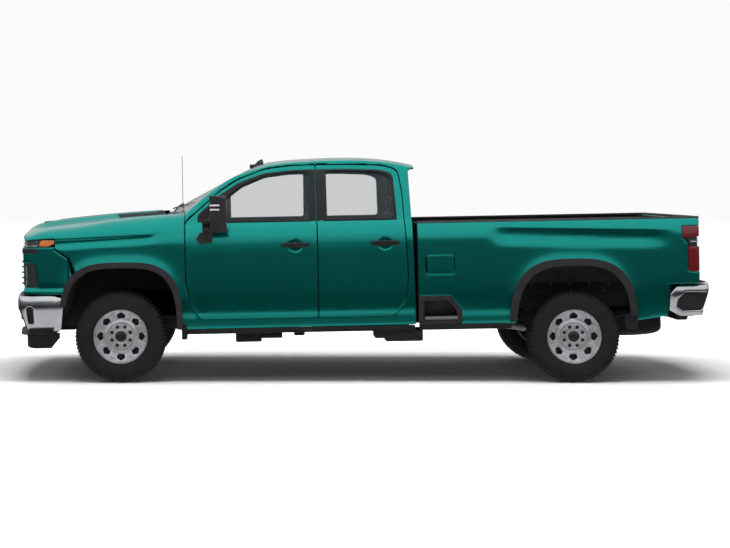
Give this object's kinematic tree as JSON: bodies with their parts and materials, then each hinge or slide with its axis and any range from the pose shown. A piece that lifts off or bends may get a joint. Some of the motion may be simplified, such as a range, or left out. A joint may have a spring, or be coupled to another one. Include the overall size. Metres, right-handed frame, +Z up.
{
  "type": "pickup truck",
  "caption": "Double-cab, long-bed heavy-duty pickup truck with opening doors, hood and tailgate, steered front wheels and wide black arch trims",
  "frame": {"origin": "on the ground under the middle of the truck's box", "axes": "-X to the front, -Y to the left side, +Z up"},
  "size_m": [6.5197, 2.5042, 2.0614],
  "materials": {
    "paint": "metallic green enamel, gloss",
    "tyre": "matt black",
    "wheel_alloy": "machined and clear coated",
    "chrome_plate": "bright plated",
    "black_plastic": "moulded, fine grain",
    "dark_trim": "moulded interior",
    "glass": "clear, light grey",
    "head_lens": "clear lens over bright reflectors",
    "tail_lens": "red lens",
    "frame_black": "satin black chassis paint",
    "cast": "cast, dull",
    "steel": "bare steel",
    "seat_cloth": "dark woven cloth"
  },
  "bodies": {
    "body": {"ladder_frame": "frame_black", "hitch_receiver": "frame_black", "powertrain": "cast", "exhaust": "steel", "fuel_tank": "black_plastic", "spare_wheel": "tyre", "leaf_springs": "frame_black", "cab_floor": "paint", "cab_roof": "paint", "cab_back": "paint", "cab_glass": "glass", "cowl_panel": "black_plastic", "dashboard": "dark_trim", "steering_wheel": "dark_trim", "seats": "seat_cloth", "front_fenders": "paint", "front_corners": "paint", "core_support": "frame_black", "grille": "black_plastic", "headlamps": "head_lens", "front_bumper": "chrome_plate", "front_valance": "black_plastic", "arch_liners": "black_plastic", "arch_flares": "black_plastic", "load_bed": "paint", "bed_sides": "paint", "cab_sides": "paint", "bed_trim": "black_plastic", "tail_lamps": "tail_lens", "rear_bumper": "chrome_plate", "drive_shafts": "steel", "rear_axle": "frame_black", "front_suspension": "frame_black"},
    "hood": {"hood": "paint"},
    "tailgate": {"tailgate": "paint"},
    "fuel_flap": {"fuel_door": "paint"},
    "steering_link": {"steering_link": "steel"},
    "front_door_left": {"front_door_left": "paint", "front_door_glass_left": "glass", "mirror_left": "black_plastic"},
    "rear_door_left": {"rear_door_left": "paint", "rear_door_glass_left": "glass"},
    "knuckle_left": {"knuckle_left": "cast"},
    "wheel_front_left": {"rim_front_left": "wheel_alloy", "tyre_front_left": "tyre"},
    "wheel_rear_left": {"rim_rear_left": "wheel_alloy", "tyre_rear_left": "tyre"},
    "front_door_right": {"front_door_right": "paint", "front_door_glass_right": "glass", "mirror_right": "black_plastic"},
    "rear_door_right": {"rear_door_right": "paint", "rear_door_glass_right": "glass"},
    "knuckle_right": {"knuckle_right": "cast"},
    "wheel_front_right": {"rim_front_right": "wheel_alloy", "tyre_front_right": "tyre"},
    "wheel_rear_right": {"rim_rear_right": "wheel_alloy", "tyre_rear_right": "tyre"}
  },
  "joints": [
    {"name": "steer_left", "type": "hinge", "parent": "body", "child": "knuckle_left", "pos_m": [-2.2375, -0.8, 0.417], "axis": [0, 0, 1], "range_deg": [-32, 32]},
    {"name": "steer_right", "type": "hinge", "parent": "body", "child": "knuckle_right", "pos_m": [-2.2375, 0.8, 0.417], "axis": [0, 0, 1], "range_deg": [-32, 32]},
    {"name": "steering_link_pivot", "type": "hinge", "parent": "knuckle_left", "child": "steering_link", "pos_m": [-2.3575, -0.8, 0.33], "axis": [0, 0, 1], "range_deg": [-32, 32]},
    {"name": "wheel_front_left_spin", "type": "hinge", "parent": "knuckle_left", "child": "wheel_front_left", "pos_m": [-2.2375, -0.8715, 0.417], "axis": [0, 1, 0], "continuous": true},
    {"name": "wheel_front_right_spin", "type": "hinge", "parent": "knuckle_right", "child": "wheel_front_right", "pos_m": [-2.2375, 0.8715, 0.417], "axis": [0, 1, 0], "continuous": true},
    {"name": "wheel_rear_left_spin", "type": "hinge", "parent": "body", "child": "wheel_rear_left", "pos_m": [1.8905, -0.8715, 0.417], "axis": [0, 1, 0], "continuous": true},
    {"name": "wheel_rear_right_spin", "type": "hinge", "parent": "body", "child": "wheel_rear_right", "pos_m": [1.8905, 0.8715, 0.417], "axis": [0, 1, 0], "continuous": true},
    {"name": "front_door_left_hinge", "type": "hinge", "parent": "body", "child": "front_door_left", "pos_m": [-1.57382, -0.988, 1.01285], "axis": [0.0192, 0, -0.9998], "range_deg": [0, 65]},
    {"name": "rear_door_left_hinge", "type": "hinge", "parent": "body", "child": "rear_door_left", "pos_m": [-0.36904, -0.988, 1.03598], "axis": [0.0192, 0, -0.9998], "range_deg": [0, 65]},
    {"name": "front_door_right_hinge", "type": "hinge", "parent": "body", "child": "front_door_right", "pos_m": [-1.57382, 0.988, 1.01285], "axis": [-0.0192, 0, 0.9998], "range_deg": [0, 65]},
    {"name": "rear_door_right_hinge", "type": "hinge", "parent": "body", "child": "rear_door_right", "pos_m": [-0.36904, 0.988, 1.03598], "axis": [-0.0192, 0, 0.9998], "range_deg": [0, 65]},
    {"name": "hood_hinge", "type": "hinge", "parent": "body", "child": "hood", "pos_m": [-1.80545, 0, 1.46049], "axis": [0, 1, 0], "range_deg": [0, 48]},
    {"name": "tailgate_hinge", "type": "hinge", "parent": "body", "child": "tailgate", "pos_m": [2.9988, 0, 0.97263], "axis": [0, 1, 0], "range_deg": [0, 90]},
    {"name": "fuel_door_hinge", "type": "hinge", "parent": "body", "child": "fuel_flap", "pos_m": [0.55535, -0.99873, 1.07674], "axis": [0.0192, 0, -0.9998], "range_deg": [0, 85]}
  ],
  "couplings": [
    {"joint": "steer_right", "follows": "steer_left", "ratio": 1},
    {"joint": "steering_link_pivot", "follows": "steer_left", "ratio": -1}
  ]
}
